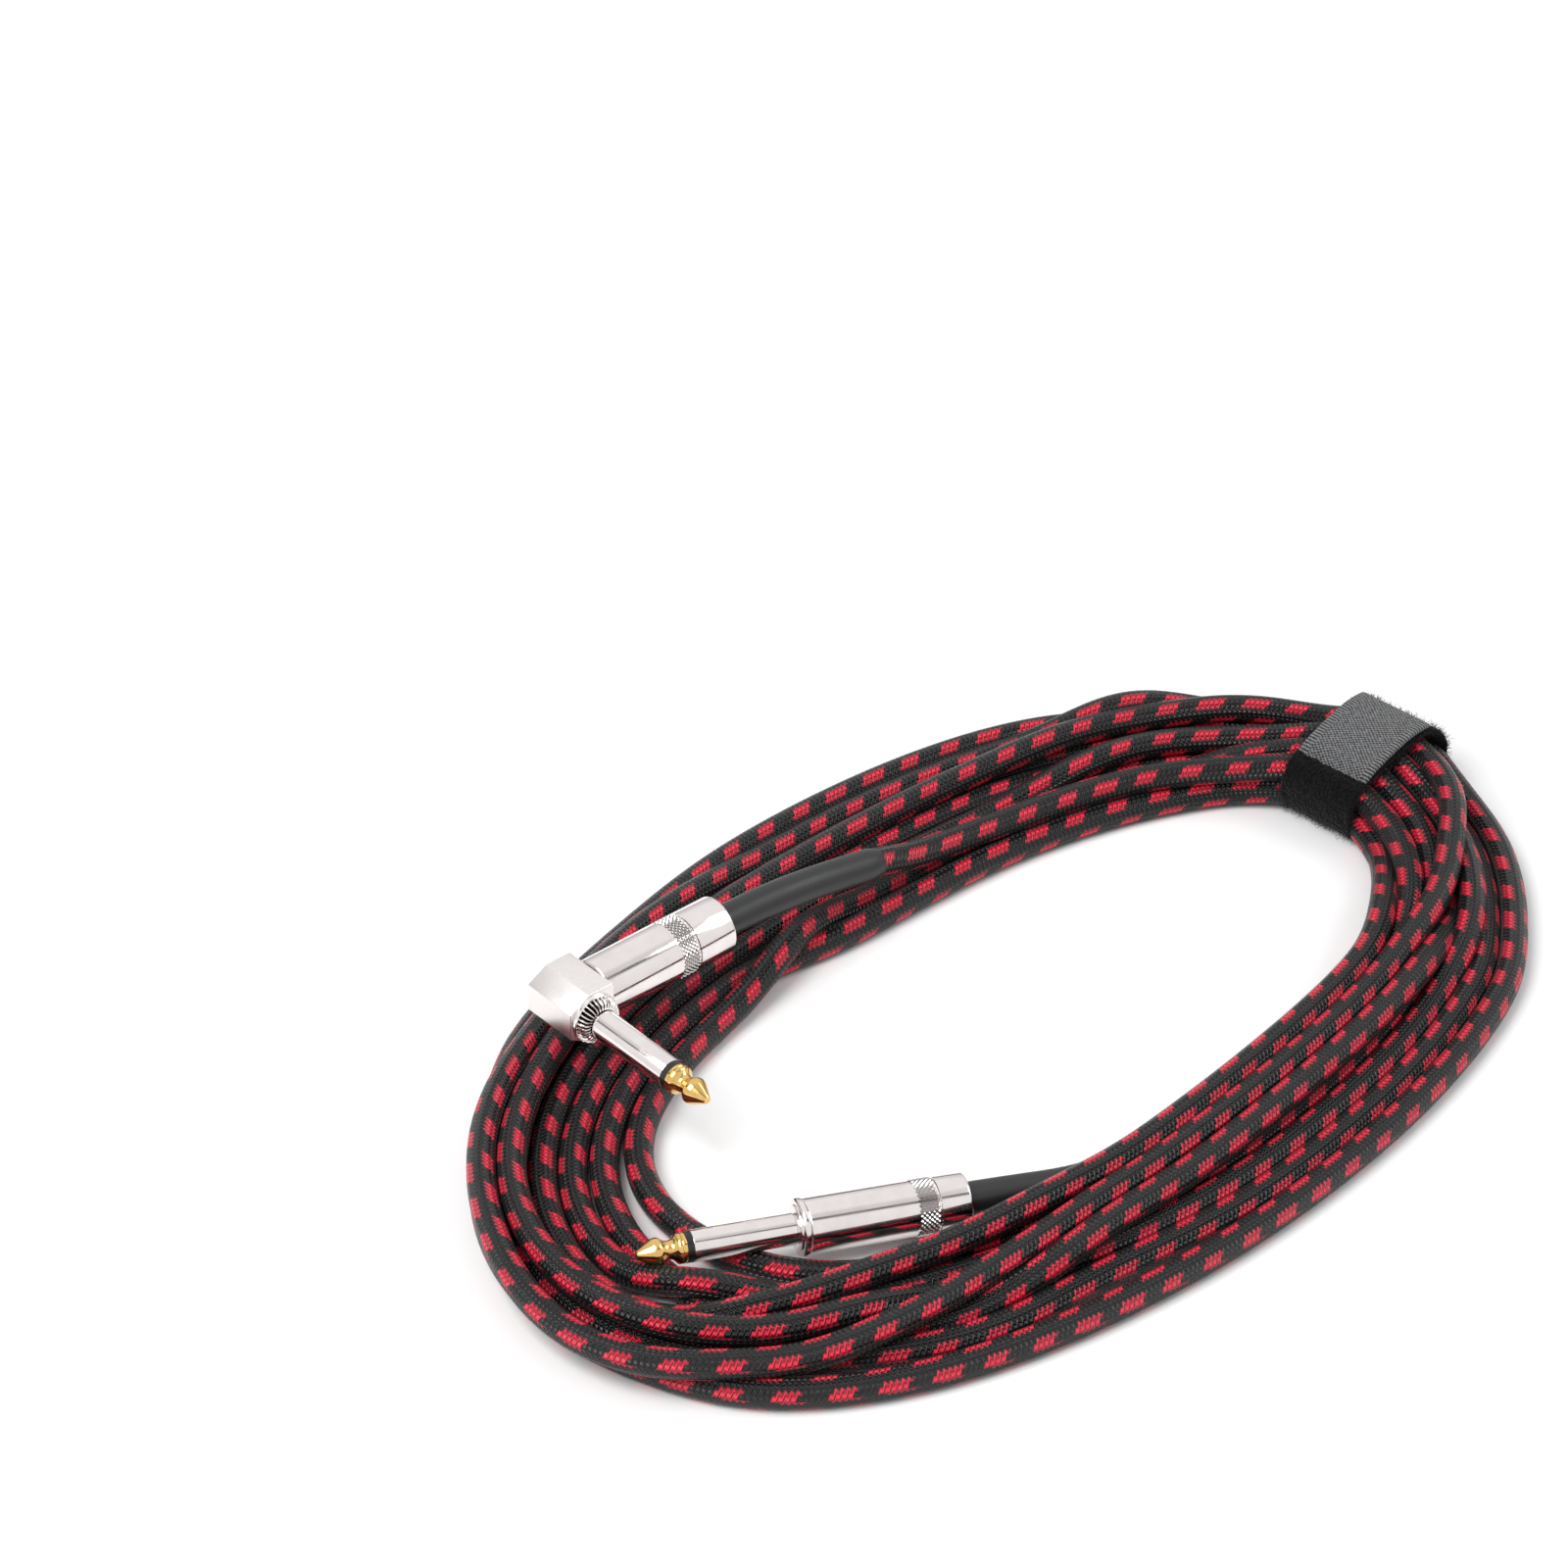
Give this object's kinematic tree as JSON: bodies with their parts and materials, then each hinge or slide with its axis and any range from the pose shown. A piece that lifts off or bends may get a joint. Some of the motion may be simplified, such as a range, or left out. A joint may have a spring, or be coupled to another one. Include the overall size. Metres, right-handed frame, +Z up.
{
  "type": "instrument cable",
  "caption": "Braided instrument cable coiled in a flat oval hank and held by a hook-and-loop tie, with a straight jack plug at one end and a right-angle one at the other.",
  "frame": {"origin": "on the floor, under the middle of the whole part's box", "axes": "+X along the hank's length towards the tie, +Z up from the floor the hank lies on"},
  "size_m": [0.2682, 0.1602, 0.0261],
  "materials": {
    "braid": "black braid with red dashes",
    "bright_nickel": "polished",
    "gold_contact": "polished gold plate",
    "brass_rod": "satin",
    "tinned_lug": "satin",
    "black_insulator": "satin",
    "white_insulator": "satin",
    "fibre_washer": "matte",
    "core_insulation": "satin",
    "bare_copper": "stranded",
    "clear_liner": "translucent",
    "heat_shrink": "satin",
    "loop_fabric": "napped loops",
    "hook_fabric": "woven"
  },
  "bodies": {
    "cable": {"cable_coil": "braid", "straight_tip": "gold_contact", "straight_insulator_ring": "black_insulator", "straight_inner_insulator": "white_insulator", "straight_tip_rod": "brass_rod", "straight_sleeve": "bright_nickel", "straight_ground_lug": "tinned_lug", "straight_rear_washer": "fibre_washer", "straight_tip_lug": "tinned_lug", "straight_core_wire": "core_insulation", "straight_shield_tail": "bare_copper", "straight_heat_shrink": "heat_shrink", "straight_lead": "braid", "elbow_tip": "gold_contact", "elbow_insulator_ring": "black_insulator", "elbow_inner_insulator": "white_insulator", "elbow_tip_rod": "brass_rod", "elbow_sleeve": "bright_nickel", "elbow_ground_lug": "tinned_lug", "elbow_rear_washer": "fibre_washer", "elbow_tip_lug": "tinned_lug", "elbow_core_wire": "core_insulation", "elbow_shield_tail": "bare_copper", "elbow_heat_shrink": "heat_shrink", "elbow_lead": "braid", "elbow_shaft_collar": "bright_nickel", "elbow_head": "bright_nickel", "tie_band": "loop_fabric"},
    "straight_barrel": {"straight_barrel": "bright_nickel"},
    "straight_liner": {"straight_liner": "clear_liner"},
    "elbow_barrel": {"elbow_barrel": "bright_nickel"},
    "elbow_liner": {"elbow_liner": "clear_liner"},
    "tie_hook_tab": {"tie_hook_tab": "hook_fabric"}
  },
  "joints": [
    {"name": "straight_barrel_travel", "type": "slide", "parent": "cable", "child": "straight_liner", "axis": [0.8733, -0.4841, -0.0558], "range_m": [0, 0.0045]},
    {"name": "straight_barrel_turn", "type": "hinge", "parent": "straight_liner", "child": "straight_barrel", "pos_m": [-0.07792, -0.01443, 0.00794], "axis": [0.8733, -0.4841, -0.0558], "range_deg": [0, 1800]},
    {"name": "elbow_barrel_travel", "type": "slide", "parent": "cable", "child": "elbow_liner", "axis": [0.9945, -0.1045, 0], "range_m": [0, 0.0045]},
    {"name": "elbow_barrel_turn", "type": "hinge", "parent": "elbow_liner", "child": "elbow_barrel", "pos_m": [-0.06328, 0.05658, 0.01985], "axis": [0.9945, -0.1045, 0], "range_deg": [0, 1800]},
    {"name": "tab_peel", "type": "hinge", "parent": "cable", "child": "tie_hook_tab", "pos_m": [0.12693, 0, 0.01705], "axis": [0, 1, 0], "range_deg": [0, 110]}
  ],
  "couplings": [
    {"joint": "straight_barrel_turn", "follows": "straight_barrel_travel", "rad_per_m": 6981.3},
    {"joint": "elbow_barrel_turn", "follows": "elbow_barrel_travel", "rad_per_m": 6981.3}
  ]
}
